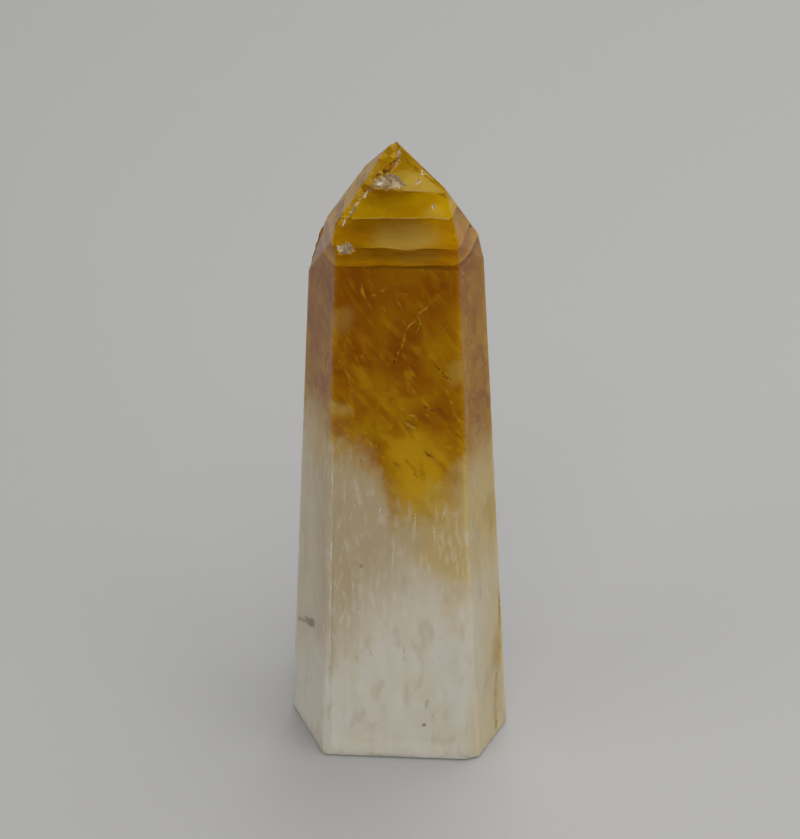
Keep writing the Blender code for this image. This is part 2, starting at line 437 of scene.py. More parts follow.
# The gold: quartz stained by iron, mottled, darker upwards, with seams and plumes that lean.
OLIVE_GOLD = (0.62, 0.36, 0.003, 1.0)
BROWN_GOLD = (0.50, 0.20, 0.001, 1.0)
DARK_BROWN = (0.40, 0.12, 0.001, 1.0)
PALE_GOLD = (0.86, 0.58, 0.015, 1.0)
GOLD_PATCHES = (
    # centre, size (mm), colour, strength
    ((-6.0, -8.5, 79.0), (7.0, 6.0, 7.0), DARK_BROWN, 0.60),
    ((1.0, -8.5, 71.0), (3.6, 6.0, 7.0), DARK_BROWN, 0.55),
    ((5.5, -8.5, 82.0), (3.0, 6.0, 2.2), DARK_BROWN, 0.55),
    ((7.5, -8.5, 72.0), (5.0, 6.0, 9.0), OLIVE_GOLD, 0.75),
    ((5.0, -9.0, 62.0), (3.2, 5.0, 2.2), DARK_BROWN, 0.65),
    ((3.6, -9.0, 52.2), (6.4, 6.0, 9.0), (0.82, 0.53, 0.015, 1.0), 0.92),
    ((-7.6, -9.0, 76.0), (2.8, 5.0, 3.2), HONEY_MILK, 0.36),
    ((-7.8, -9.0, 61.5), (2.2, 5.0, 1.8), HONEY_MILK, 0.60),
    ((8.6, -8.5, 68.5), (2.2, 5.0, 2.6), HONEY_MILK, 0.40),
    ((13.0, -3.5, 58.0), (3.0, 5.0, 5.0), OLIVE_GOLD, 0.80),
    ((12.8, -4.0, 74.0), (4.0, 7.0, 17.0), (0.66, 0.44, 0.003, 1.0), 0.60),
    ((12.3, -7.5, 62.5), (3.2, 4.5, 6.5), (0.84, 0.50, 0.003, 1.0), 0.90),
    ((-12.0, -5.0, 63.0), (5.0, 6.0, 5.0), DARK_BROWN, 0.50),
    ((-4.5, -9.0, 70.0), (6.0, 5.0, 5.0), DARK_BROWN, 0.45),
)
MOTTLE = (230.0, 5.0, 0.36, 0.64, 0.7)  # a pattern as above, and its roughness
PLUMES = (560.0, 3.0, 0.50, 0.74)
SLIVERS = (1250.0, 1.0, 0.58, 0.74)
SEAMS = (420.0, 3.0, 0.43, 0.30)
PLUME_LEAN = (0.0, 35.0, 0.0)  # degrees
PLUME_STRETCH = (1.0, 1.0, 0.30)
PLUME_SPAN = (82.0 * MM, 66.0 * MM)  # the plumes grow clearer downwards
PLUME_STRENGTHS = (0.22, 0.50)
SEAM_STRENGTH = 0.6
DARK_SWAY = 30.0 * MM
DARK_SPAN = (64.0 * MM, 86.0 * MM)
DARK_STRENGTH = 0.5


def gold_tones(tree, cloud):
    """The stained quartz, from olive gold to dark brown, with pale plumes and dark seams."""
    mottle = pattern(tree, cloud["places"], *MOTTLE)
    gold = blend(tree, mottle, BROWN_GOLD, OLIVE_GOLD)
    rise = swayed(tree, cloud["z"], cloud["drift"], DARK_SWAY)
    dark = times(tree, spread(tree, rise, *DARK_SPAN), DARK_STRENGTH)
    gold = blend(tree, dark, gold, DARK_BROWN)
    gold = patched(tree, cloud["loose"], gold, GOLD_PATCHES)

    leaning = moved(tree, moved(tree, cloud["bent"], turn=PLUME_LEAN), stretch=PLUME_STRETCH)
    seams = times(tree, pattern(tree, leaning, *SEAMS), SEAM_STRENGTH)
    gold = blend(tree, seams, gold, DARK_BROWN)
    plumes = pattern(tree, leaning, *PLUMES)
    plumes = reckon(tree, "MAXIMUM", plumes, pattern(tree, leaning, *SLIVERS))
    faint = spread(tree, cloud["z"], *PLUME_SPAN, *PLUME_STRENGTHS)
    plumes = times(tree, plumes, times(tree, faint, cloud["facing"]))
    return blend(tree, plumes, gold, PALE_GOLD)


def make_cloudy(shader, roughness, scatter):
    """Sets a shader to scatter light inside, alike in every colour, with no shine of its own."""
    shader.inputs["Roughness"].default_value = roughness
    shader.inputs["Specular IOR Level"].default_value = 0.0
    shader.inputs["Subsurface Weight"].default_value = 1.0
    shader.inputs["Subsurface Radius"].default_value = (1.0, 1.0, 1.0)
    shader.inputs["Subsurface Scale"].default_value = scatter


def clouded_quartz():
    material, tree, shader = new_material("clouded_quartz")
    cloud = cloud_basis(tree)
    stain = stain_share(tree, cloud)
    colour = blend(tree, stain, milk_tones(tree, cloud), gold_tones(tree, cloud))
    tree.links.new(colour, shader.inputs["Base Color"])
    make_cloudy(shader, roughness=0.55, scatter=0.5 * MM)
    return material


heart = grow_shell(
    foot=0.05 * MM, top=84.2 * MM, depth=0.95 * MM, unevenness=0.4 * MM,
    sides=180, rings=220, flare_gap=0.08 * MM,
)
finish_piece("inner_cloud", heart, clouded_quartz())


# ---------------------------------------------------------------------------------------------
# Healed cracks: small curved plates where the crystal once split and grew shut again, strewn
# under the wall. They hang upright and pale in the milk, and lean right in the gold, where the
# longest ones are placed one by one.

PLATE_THICKNESS = 0.03 * MM
PLATE_DEPTHS = (0.25, 0.70)  # under the wall (mm)
PLATE_BEND = 0.5
PLATE_TURN = 0.5  # out of line with the wall
PLATE_DIP = 0.25
MOSTLY_SHORT = 2.5  # the higher, the fewer the long plates
COARSE_RAG = 0.22  # how far its outline goes in and out
FINE_RAG = 0.13
CUP_MIDDLE = 0.12
PLATE_RIPPLE = 0.08


def place_inside(angle, height, depth):
    """A place so deep under the polished wall, with the way out and the way along the wall."""
    outward = Vector((math.cos(angle), math.sin(angle), 0.0))
    along = Vector((-outward.y, outward.x, 0.0))
    place = CORE_AXIS + outward * (wall_reach(outward, height) - depth)
    return Vector((place.x, place.y, height)), outward, along


def crack_plate(bm, place, outward, up, size, bend, chance):
    """A thin ragged plate, cupped a little: size is its width, length and thickness."""
    across = up.cross(outward).normalized()
    out = across.cross(up).normalized()
    made = bmesh.ops.create_uvsphere(bm, u_segments=8, v_segments=5, radius=0.5)["verts"]
    ragged = [chance.uniform(-1.0, 1.0) for number in range(3)]
    for vert in made:
        x, y, z = vert.co
        angle = math.atan2(z, x)
        edge = 1.0 + COARSE_RAG * math.sin(3 * angle + 3 * ragged[0])
        edge += FINE_RAG * math.sin(7 * angle + 5 * ragged[1])
        x, z = x * edge, z * edge
        cup = bend * (x * x + z * z - CUP_MIDDLE)
        cup += PLATE_RIPPLE * math.sin(9 * x + 3 * ragged[2]) * math.sin(7 * z)
        vert.co = place + across * x * size[0] + up * z * size[1]
        vert.co += out * (y * size[2] + cup * size[0])


def grow_cracks(count, seed, heights, lean, wander, length, slimness):
    """Plates strewn round the crystal: heights and length in mm, lean and wander in degrees."""
    chance = random.Random(seed)
    bm = bmesh.new()
    for number in range(count):
        height = chance.uniform(*heights) * MM
        depth = chance.uniform(*PLATE_DEPTHS) * MM
        place, outward, along = place_inside(chance.uniform(-math.pi, math.pi), height, depth)
        tilt = math.radians(chance.gauss(lean, wander))
        up = Vector((0.0, 0.0, math.cos(tilt))) + along * math.sin(tilt)
        outward = (outward + along * chance.uniform(-PLATE_TURN, PLATE_TURN)).normalized()
        dip = outward * chance.uniform(-PLATE_DIP, PLATE_DIP)
        up = (up - outward * up.dot(outward) + dip).normalized()
        long = length[0] + (length[1] - length[0]) * chance.random() ** MOSTLY_SHORT
        size = (long * chance.uniform(*slimness) * MM, long * MM, PLATE_THICKNESS)
        bend = chance.uniform(-PLATE_BEND, PLATE_BEND)
        crack_plate(bm, place, outward, up, size, bend, chance)
    bmesh.ops.recalc_face_normals(bm, faces=bm.faces[:])
    return bm


def plain_finish(name, dull, bright, roughness, gloss, grain):
    """A finish that drifts between two colours; grain is its lumps to the metre."""
    material, tree, shader = new_material(name)
    tone = pattern(tree, object_places(tree), grain, 2.0, 0.38, 0.60)
    colour = blend(tree, tone, (*dull, 1.0), (*bright, 1.0))
    tree.links.new(colour, shader.inputs["Base Color"])
    shader.inputs["Roughness"].default_value = roughness
    shader.inputs["Specular IOR Level"].default_value = gloss
    return material


LINE_STEP = 0.25  # mm
LINE_SWAY = 0.25  # mm
LINE_UNEVENNESS = (0.3, 1.3)  # of its width
LINE_BUMPS = (0.0, 0.05)  # further under the wall (mm)
TAPER_START = 0.08  # its width follows a half wave, from here
TAPER_SPAN = 0.84  # and for so much of it
LINE_KEPT = 0.72  # the share of a long crack that hasn't healed away
IN_FRONT = -20.0  # mm along Y, clear of the crystal


def stepped(line):
    """The places along a line, a short step apart, without the last one."""
    path = []
    for (x0, z0), (x1, z1) in zip(line, line[1:]):
        steps = max(2, round(math.hypot(x1 - x0, z1 - z0) / LINE_STEP))
        path += [(x0 + (x1 - x0) * n / steps, z0 + (z1 - z0) * n / steps) for n in range(steps)]
    return path


def long_crack(bm, line, width, depth, chance):
    """A narrow wavy ribbon under the front face, along a line of (x, z) places (mm)."""
    path = stepped(line)
    rows = []
    for number, (x, z) in enumerate(path):
        ahead = path[min(number + 1, len(path) - 1)]
        behind = path[max(number - 1, 0)]
        slope = Vector((ahead[0] - behind[0], 0.0, ahead[1] - behind[1])).normalized()
        across = Vector((slope.z, 0.0, -slope.x))
        share = number / (len(path) - 1)
        taper = math.sin(math.pi * (TAPER_START + TAPER_SPAN * share))
        half = width / 2 * taper * chance.uniform(*LINE_UNEVENNESS)
        sway = across * LINE_SWAY * noise.noise(Vector((x, z, 3.0)))
        row = []
        for side in (-half, half):
            aim = (Vector((x, IN_FRONT, z)) + sway + across * side) * MM
            place = wall_faces.ray_cast(aim, Vector((0.0, 1.0, 0.0)))[0]
            sunk = (depth + chance.uniform(*LINE_BUMPS)) * MM
            row.append(bm.verts.new(place + Vector((0.0, sunk, 0.0))))
        rows.append(row)
    for row, above in zip(rows, rows[1:]):
        if chance.random() < LINE_KEPT:
            bm.faces.new((row[0], row[1], above[1], above[0]))


GOLD_LINES = (
    # line of (x, z) places and width (mm)
    (((6.0, 80.8), (3.6, 78.2), (1.6, 75.4), (0.7, 72.2), (-0.4, 69.8)), 0.34),
    (((4.4, 73.8), (5.8, 74.4), (7.2, 76.0)), 0.26),
    (((-3.8, 80.0), (-2.2, 80.8), (0.2, 82.4)), 0.30),
    (((3.1, 77.8), (3.3, 75.9), (2.6, 74.6)), 0.30),
    (((7.4, 64.6), (8.2, 62.2), (8.0, 60.4)), 0.24),
    (((-6.8, 66.0), (-5.4, 63.6), (-5.0, 61.8)), 0.30),
    (((-8.2, 70.6), (-6.6, 67.4), (-6.0, 65.6)), 0.26),
    (((-2.2, 67.4), (-0.6, 64.2), (-0.2, 62.6)), 0.24),
)
BROWN_LINES = (
    (((4.8, 70.4), (6.6, 68.0), (8.8, 66.0)), 0.34),
    (((3.6, 63.2), (5.0, 62.2), (6.6, 62.6)), 0.50),
    (((0.3, 72.4), (-0.6, 69.0)), 0.40),
    (((5.2, 82.6), (7.4, 81.8), (8.6, 82.2)), 0.34),
    (((3.8, 55.6), (5.4, 54.2)), 0.24),
)
GOLD_LINE_DEPTH = 0.18  # mm
BROWN_LINE_DEPTH = 0.22  # mm
line_chance = random.Random(12)

gold_cracks = grow_cracks(
    count=150, seed=7, heights=(50.0, 84.0), lean=-38.0, wander=25.0,
    length=(0.5, 2.6), slimness=(0.10, 0.30),
)
for line, width in GOLD_LINES:
    long_crack(gold_cracks, line, width, GOLD_LINE_DEPTH, line_chance)
crack_gold = plain_finish(
    "crack_gold", (0.46, 0.20, 0.002), (0.76, 0.46, 0.02), roughness=0.3, gloss=0.3, grain=700.0,
)
finish_piece("gold_cracks", gold_cracks, crack_gold)

brown_cracks = bmesh.new()
for line, width in BROWN_LINES:
    long_crack(brown_cracks, line, width, BROWN_LINE_DEPTH, line_chance)
crack_brown = plain_finish(
    "crack_brown", (0.24, 0.08, 0.002), (0.44, 0.18, 0.003), roughness=0.4, gloss=0.1, grain=500.0,
)
finish_piece("brown_cracks", brown_cracks, crack_brown)

milk_cracks = grow_cracks(
    count=110, seed=8, heights=(2.0, 52.0), lean=0.0, wander=12.0,
    length=(0.4, 2.2), slimness=(0.10, 0.24),
)
crack_milk = plain_finish(
    "crack_milk", (0.80, 0.74, 0.60), (0.96, 0.94, 0.86), roughness=0.5, gloss=0.0, grain=160.0,
)
finish_piece("milk_cracks", milk_cracks, crack_milk)


# ---------------------------------------------------------------------------------------------
# Growth sheets in the tip: where the crystal paused as it grew, iron settled on its end and
# was grown over. They lie one above the other, nearly level, and give the tip its gold bands.

SHEETS = (
    # height at the axis, rise to the right, gap to the wall at left and right (mm)
    (84.9, 0.035, 0.25, 0.55),
    (87.3, 0.030, 0.45, 0.30),
    (90.8, 0.060, 0.25, 0.45),
    (94.1, 0.000, 0.35, 0.35),
)
SHEET_THICKNESS = 0.05 * MM
SHEET_SQUARES = 70
LEFT_TO_RIGHT = 5.0 * MM  # the width over which the left gap becomes the right one
LEAST_GAP = 0.22  # mm
GAP_WAVES = (
    # strength, and width along each axis (mm)
    (0.6, (2.4, 2.4, 2.4)),
    (0.3, (0.9, 0.9, 0.9)),
)
LEVEL_WAVES = (
    (0.16 * MM, (4.0, 4.0, 4.0)),
    (0.04 * MM, (1.2, 1.2, 1.2)),
)


def growth_sheet(height, rise, gap_left, gap_right):
    """A thin uneven sheet that fills the tip at a height, up to a ragged rim under the wall."""
    bm = bmesh.new()
    bmesh.ops.create_grid(bm, x_segments=SHEET_SQUARES, y_segments=SHEET_SQUARES, size=1.0)
    for vert in bm.verts:
        share = max(abs(vert.co.x), abs(vert.co.y))
        outward = Vector((vert.co.x, vert.co.y, 0.0)).normalized()
        reach = wall_reach(outward, height * MM) if share > 0.0 else 0.0
        rim = CORE_AXIS + outward * reach
        right = min(1.0, max(0.0, rim.x / LEFT_TO_RIGHT + 0.5))
        gap = gap_left + (gap_right - gap_left) * right
        gap *= 1.0 + waves(rim, GAP_WAVES)
        reach -= max(LEAST_GAP, gap) * MM
        flat = CORE_AXIS + outward * reach * share
        level = height * MM + rise * flat.x + waves(flat, LEVEL_WAVES)
        vert.co = Vector((flat.x, flat.y, level))
    bmesh.ops.recalc_face_normals(bm, faces=bm.faces[:])
    bmesh.ops.solidify(bm, geom=bm.faces[:], thickness=SHEET_THICKNESS)
    return bm


RIM_BROWN = (0.34, 0.13, 0.002, 1.0)
# A painted highlight: the pale line where a sheet's front edge catches light.
RIM_HIGHLIGHT = (0.95, 0.78, 0.34, 1.0)
HAZY_GOLD = (1.0, 0.80, 0.22, 1.0)
SHEET_FINISHES = (
    # dull and bright gold; the hazy patch: x, y, width (mm) and strength;
    # the rim: colour, left and right ends (mm) and strength, where a pale rim is painted
    # highlight; how solid
    (
        (0.82, 0.40, 0.001), (0.94, 0.57, 0.003), (3.0, -4.0, 4.0, 0.3),
        (RIM_BROWN, -12.0, 0.5, 0.9), 0.90,
    ),
    (
        (0.80, 0.44, 0.002), (0.95, 0.64, 0.004), (1.0, -4.6, 6.2, 1.0),
        (RIM_BROWN, 1.5, 12.0, 0.9), 0.62,
    ),
    (
        (0.86, 0.55, 0.003), (0.95, 0.68, 0.006), (5.0, -4.0, 2.5, 0.4),
        (RIM_HIGHLIGHT, -9.0, 9.0, 0.5), 0.74,
    ),
    (
        (0.58, 0.35, 0.010), (0.72, 0.49, 0.045), (2.6, -2.6, 5.4, 0.62),
        (RIM_HIGHLIGHT, -3.6, 3.2, 0.9), 0.80,
    ),
)
SHEET_MOTTLE = (260.0, 5.0, 0.38, 0.62, 0.6)
SHEET_LOOSENING = (260.0, 3.0 * MM)
HAZY_PATCH_HEIGHT = 3.0  # mm
FRONT_TIP_FACE = Vector((-0.0485, -0.867, 0.4955))
FRONT_TIP_REACH = 50.29 * MM
RIM_STARTS = FRONT_TIP_REACH - 0.58 * MM
RIM_IS_FULL = FRONT_TIP_REACH - 0.36 * MM
RIM_FADE = 1.0  # mm to either side of its ends
SHEET_ROUGHNESS = 0.35


def faded(tree, value, end, inward):
    """0 outside an end (mm) and 1 inside it; inward is 1 or -1."""
    fade = RIM_FADE * inward
    return spread(tree, value, (end - fade) * MM, (end + fade) * MM)


def sheet_gold(name, height, dull, bright, hazy, rim, solid):
    material, tree, shader = new_material(name)
    places = object_places(tree)
    loose = loosened(tree, places, *SHEET_LOOSENING)
    mottle = pattern(tree, places, *SHEET_MOTTLE)
    gold = blend(tree, mottle, (*dull, 1.0), (*bright, 1.0))
    x, y, width, strength = hazy
    size = (width, width, HAZY_PATCH_HEIGHT)
    gold = patched(tree, loose, gold, [((x, y, height), size, HAZY_GOLD, strength)])

    # The rim: a line of colour along the sheet's front edge; a pale one is painted highlight.
    rim_colour, rim_left, rim_right, rim_strength = rim
    out = put(
        tree, "ShaderNodeVectorMath", {0: places, 1: FRONT_TIP_FACE}, operation="DOT_PRODUCT",
    ).outputs["Value"]
    at_rim = spread(tree, out, RIM_STARTS, RIM_IS_FULL)
    across = axes_of(tree, loose)["X"]
    between = times(tree, faded(tree, across, rim_left, 1), faded(tree, across, rim_right, -1))
    at_rim = times(tree, times(tree, at_rim, between), rim_strength)
    tree.links.new(blend(tree, at_rim, gold, rim_colour), shader.inputs["Base Color"])
    shader.inputs["Alpha"].default_value = solid
    shader.inputs["Roughness"].default_value = SHEET_ROUGHNESS
    shader.inputs["Specular IOR Level"].default_value = 0.0
    return material


for number, (sheet, finish) in enumerate(zip(SHEETS, SHEET_FINISHES), start=1):
    sheet_material = sheet_gold(f"sheet_gold_{number}", sheet[0], *finish)
    finish_piece(f"growth_sheet_{number}", growth_sheet(*sheet), sheet_material)


# ---------------------------------------------------------------------------------------------
# The haze in the tip: fine golden veils too thin to tell apart, which fill its back half
# between the growth sheets. They are modelled as one soft core.

HAZE_DULL = (0.66, 0.36, 0.004, 1.0)
HAZE_BRIGHT = (0.86, 0.60, 0.050, 1.0)
HAZE_BEND = (240.0, 2.0 * MM)
HAZE_STRETCH = (1.0, 1.0, 2.2)
HAZE_PATTERN = (300.0, 4.0, 0.38, 0.62)
HAZE_DEPTH = 2.4 * MM
HAZE_FRONT = 1.0 * MM  # along Y; nothing of the core is nearer to the front
FRONT_RIPPLE = 0.3 * MM
RIPPLE_SIZE = (1.6, 50.0, 3.0)  # mm along each axis


def tip_haze():
    material, tree, shader = new_material("tip_haze")
    bent = warped(tree, object_places(tree), *HAZE_BEND)
    thick = pattern(tree, moved(tree, bent, stretch=HAZE_STRETCH), *HAZE_PATTERN)
    tree.links.new(blend(tree, thick, HAZE_DULL, HAZE_BRIGHT), shader.inputs["Base Color"])
    make_cloudy(shader, roughness=0.6, scatter=1.0 * MM)
    return material


haze = grow_shell(
    foot=84.6 * MM, top=93.9 * MM, depth=HAZE_DEPTH, unevenness=0.5 * MM,
    sides=72, rings=60, flare_gap=HAZE_DEPTH,
)
for vert in haze.verts:
    if vert.co.y < HAZE_FRONT:
        middle = Vector((CORE_AXIS.x, HAZE_FRONT, vert.co.z))
        side = Vector((math.copysign(1.0, vert.co.x - middle.x), 0.0, 0.0))
        room = max(0.0, wall_faces.ray_cast(middle, side)[3] - HAZE_DEPTH)
        out = min(abs(vert.co.x - middle.x), room)
        ripple = Vector((0.0, FRONT_RIPPLE * (1.0 + unrest(vert.co, RIPPLE_SIZE)), 0.0))
        vert.co = middle + side * out + ripple
finish_piece("tip_core", haze, tip_haze())


# ---------------------------------------------------------------------------------------------
# Broken quartz: where the front left ridge of the tip was knocked, and in a few small nicks,
# the crystal is crushed into tiny bright faces just under the surface. Rust has crept into two
# cracks, one above the crushed ridge and one at the left shoulder.

ROUNDED_ABOVE = 6  # a sheet with more faces than this each way loses its corners
ROUNDED_REACH = 1.08  # from the middle of a square that runs from -1 to 1
ON_EDGE = 0.99  # of the way from the middle to the edge, or more
JITTER = 0.5  # of a face, along the edges
SIDEWAYS = 0.4  # of the crumple
OVER_WALL = 5.0  # mm, where the search for the wall starts
TORN_SHARE = 0.35


def torn_sheet(bm, corners, across, along, depth, crumple, torn_share, chance):
    """A crumpled scrap that lies under the wall between four corners (mm), with a torn edge."""
    lower_left, lower_right, upper_right, upper_left = [Vector(corner) * MM for corner in corners]
    middle = (lower_left + lower_right + upper_right + upper_left) / 4
    outward = wall_faces.find_nearest(middle)[1]
    grid = bmesh.ops.create_grid(bm, x_segments=across, y_segments=along, size=1.0)["verts"]
    rounded = across > ROUNDED_ABOVE and along > ROUNDED_ABOVE
    edge, corner = [], []
    for vert in grid:
        u, v = (vert.co.x + 1) / 2, (vert.co.y + 1) / 2
        if rounded and vert.co.length > ROUNDED_REACH:
            corner.append(vert)
        if max(abs(vert.co.x), abs(vert.co.y)) > ON_EDGE:
            edge.append(vert)
            u += chance.uniform(-JITTER, JITTER) / across
            v += chance.uniform(-JITTER, JITTER) / along
        aim = lower_left.lerp(lower_right, u).lerp(upper_left.lerp(upper_right, u), v)
        aim += Vector([chance.gauss(0.0, crumple * SIDEWAYS) for axis in range(3)]) * MM
        place = wall_faces.ray_cast(aim + outward * OVER_WALL * MM, -outward)[0]
        place = aim if place is None else place
        vert.co = place - outward * (depth + crumple * chance.random()) * MM
    lost = {face for vert in corner for face in vert.link_faces}
    border = lost | {face for vert in edge for face in vert.link_faces}
    border = sorted(border, key=lambda face: face.index)
    torn = [face for face in border if face in lost or chance.random() < torn_share]
    bmesh.ops.delete(bm, geom=torn, context="FACES")


CRUSHED = (
    # corners: lower left, lower right, upper right, upper left (mm); faces across and along
    (((-4.6, -4.1, 94.3), (0.9, -4.2, 94.3), (1.0, -3.6, 95.3), (-1.3, -2.8, 96.5)), 16, 8),
    (((-8.3, -6.4, 89.6), (-7.9, -6.5, 89.6), (-4.1, -4.2, 94.5), (-4.5, -4.0, 94.6)), 2, 30),
    (((-7.6, -8.4, 86.6), (-5.2, -8.5, 86.6), (-5.4, -7.9, 87.9), (-7.2, -7.9, 88.0)), 13, 8),
    (((-1.2, -2.6, 96.8), (-0.6, -2.6, 96.8), (0.0, -1.5, 98.7), (-0.7, -1.4, 98.7)), 4, 12),
    (((2.8, -3.3, 96.1), (3.4, -3.3, 96.1), (3.3, -3.0, 96.6), (2.9, -3.0, 96.6)), 2, 2),
    (((2.3, -3.9, 95.0), (2.8, -3.9, 95.0), (2.9, -3.5, 95.6), (2.4, -3.5, 95.6)), 2, 2),
    (((4.5, -5.5, 92.4), (5.1, -5.5, 92.4), (5.0, -5.2, 92.8), (4.5, -5.2, 92.8)), 2, 2),
    (((12.3, -9.9, 8.0), (12.7, -9.7, 8.0), (12.7, -9.7, 8.5), (12.3, -9.9, 8.5)), 2, 2),
)
RUSTY = (
    (((-3.4, -2.8, 95.9), (-2.4, -3.2, 95.9), (0.1, -1.9, 98.2), (-0.9, -1.5, 98.2)), 4, 14),
    (((-12.4, -1.5, 80.4), (-12.1, -1.7, 80.4), (-10.2, -0.6, 87.4), (-10.5, -0.4, 87.4)), 1, 26),
)
CRUSHED_LAY = (0.12, 0.30, TORN_SHARE)  # depth and crumple (mm), and the share torn off
RUSTY_LAY = (0.10, 0.12, TORN_SHARE)
scrap_chance = random.Random(11)

crushed = bmesh.new()
for corners, across, along in CRUSHED:
    torn_sheet(crushed, corners, across, along, *CRUSHED_LAY, scrap_chance)
bright_break = plain_finish(
    "bright_break", (0.48, 0.38, 0.37), (0.96, 0.90, 0.90), roughness=0.15, gloss=1.0, grain=800.0,
)
finish_piece("crushed_quartz", crushed, bright_break, smooth=False)

rusty = bmesh.new()
for corners, across, along in RUSTY:
    torn_sheet(rusty, corners, across, along, *RUSTY_LAY, scrap_chance)
rusty_break = plain_finish(
    "rusty_break", (0.16, 0.06, 0.004), (0.60, 0.28, 0.01), roughness=0.4, gloss=0.2, grain=1200.0,
)
finish_piece("rusty_cracks", rusty, rusty_break, smooth=False)


# ---------------------------------------------------------------------------------------------
# The gold crack in the right edge: a split that runs up the edge from the foot, filled with
# iron stain. It is a row of narrow crumpled ribbons just under the polished face.

RIBBONS = (
    # corners: lower left, lower right, upper right, upper left (mm); faces across and along
    (((15.5, -3.2, 12.5), (15.9, -2.5, 12.5), (15.6, -1.9, 19.0), (15.3, -2.5, 19.0)), 4, 26),
    (((15.1, -2.8, 18.6), (15.5, -2.0, 18.6), (15.1, -1.8, 25.0), (14.9, -2.2, 25.0)), 2, 22),
    (((14.8, -5.1, 0.8), (15.15, -4.6, 0.8), (14.9, -3.7, 11.5), (14.6, -4.2, 11.5)), 2, 34),
    (((15.5, -3.3, 11.2), (15.7, -2.9, 11.2), (15.7, -2.8, 13.2), (15.5, -3.1, 13.2)), 1, 8),
)
RIBBON_LAY = (0.16, 0.06, 0.06)  # depth and crumple (mm), and the share torn off

ribbons = bmesh.new()
for corners, across, along in RIBBONS:
    torn_sheet(ribbons, corners, across, along, *RIBBON_LAY, scrap_chance)
ribbon_gold = plain_finish(
    "ribbon_gold", (0.66, 0.42, 0.05), (0.84, 0.60, 0.16), roughness=0.4, gloss=0.1, grain=500.0,
)
finish_piece("edge_ribbons", ribbons, ribbon_gold)


# ---------------------------------------------------------------------------------------------
# Painted edge light, pale healed splits and small dirt marks. Pale strips along the front left
# corner and the rim of the foot are painted highlight where those polished edges catch light, and
# strips by the front right corner and low at its right are painted reflection of the back edges
# seen through the front face. Finer healed splits hang in the milk, and there are a few specks of
# dark mineral. All sit just under the polished faces.

PAINTED_EDGE_LIGHTS = (
    # corners: lower left, lower right, upper right, upper left (mm);
    # faces across and along, and depth (mm)
    # painted reflection: a back edge seen through the front face, up its right side
    (
        ((11.3, -9.6, 13.0), (11.6, -9.5, 13.0), (10.9, -8.6, 44.0), (10.7, -8.7, 44.0)),
        1, 40, 0.20,
    ),
    # painted highlight along the polished front left corner
    (
        ((-10.30, -11.2, 2.0), (-10.13, -11.2, 2.0), (-8.82, -9.4, 55.0), (-8.97, -9.4, 55.0)),
        1, 90, 0.12,
    ),
    # painted highlight along the polished rim of the foot, under the front face
    (
        ((-10.4, -11.4, 0.44), (10.6, -11.4, 0.44), (10.6, -11.4, 0.80), (-10.4, -11.4, 0.80)),
        80, 1, 0.05,
    ),
    # painted highlight along the rim of the foot, round the front right corner
    (
        ((11.0, -11.2, 0.44), (12.6, -10.4, 0.44), (12.6, -10.4, 0.80), (11.0, -11.2, 0.80)),
        8, 1, 0.05,
    ),
    # painted reflection: the back edges seen through the front face, low at its right
    (
        ((7.6, -11.2, 5.3), (10.6, -11.2, 4.9), (10.6, -11.2, 5.15), (7.6, -11.2, 5.5)),
        14, 1, 0.15,
    ),
    # painted reflection: the same back edges, rising at the right
    (
        ((10.65, -11.2, 4.9), (10.85, -11.2, 4.9), (11.0, -11.0, 9.0), (10.85, -11.0, 9.0)),
        1, 18, 0.15,
    ),
)
FINE_THREADS = (
    # corners as above; faces across and along
    (((-6.2, -10.2, 28.0), (-6.05, -10.2, 28.0), (-6.4, -9.7, 34.5), (-6.5, -9.7, 34.5)), 1, 24),
    (((-0.6, -9.9, 35.0), (-0.45, -9.9, 35.0), (-0.2, -9.5, 40.5), (-0.3, -9.5, 40.5)), 1, 20),
    (((2.6, -9.7, 41.0), (2.75, -9.7, 41.0), (2.9, -9.4, 45.5), (2.8, -9.4, 45.5)), 1, 16),
    (((5.6, -9.9, 38.0), (5.75, -9.9, 38.0), (5.5, -9.5, 43.0), (5.4, -9.5, 43.0)), 1, 18),
    (((-3.4, -10.6, 17.0), (-3.2, -10.6, 17.0), (-3.6, -10.4, 21.0), (-3.7, -10.4, 21.0)), 1, 14),
    (((1.3, -10.6, 18.0), (1.55, -10.6, 18.0), (1.3, -10.4, 21.5), (1.15, -10.4, 21.5)), 1, 12),
)
DARK_MARKS = (
    (((-14.3, -3.0, 19.3), (-12.2, -6.6, 20.7), (-12.3, -6.4, 22.2), (-14.4, -2.8, 20.2)), 6, 3),
    (((-15.5, -0.9, 17.9), (-14.3, -3.0, 19.0), (-14.4, -2.9, 19.6), (-15.5, -0.9, 18.4)), 5, 1),
    (((3.9, -11.1, 6.5), (4.5, -11.1, 6.4), (4.5, -11.1, 6.9), (4.0, -11.1, 6.9)), 3, 2),
    (((-5.3, -10.2, 35.3), (-4.8, -10.2, 35.2), (-4.8, -10.2, 35.8), (-5.2, -10.2, 35.9)), 2, 2),
)
PAINTED_EDGE_LIGHT_LAY = (0.02, 0.0)  # crumple (mm) and the share torn off
FINE_THREAD_LAY = (0.16, 0.05, 0.2)  # depth and crumple (mm), and the share torn off
MARK_LAY = (0.12, 0.04, 0.0)

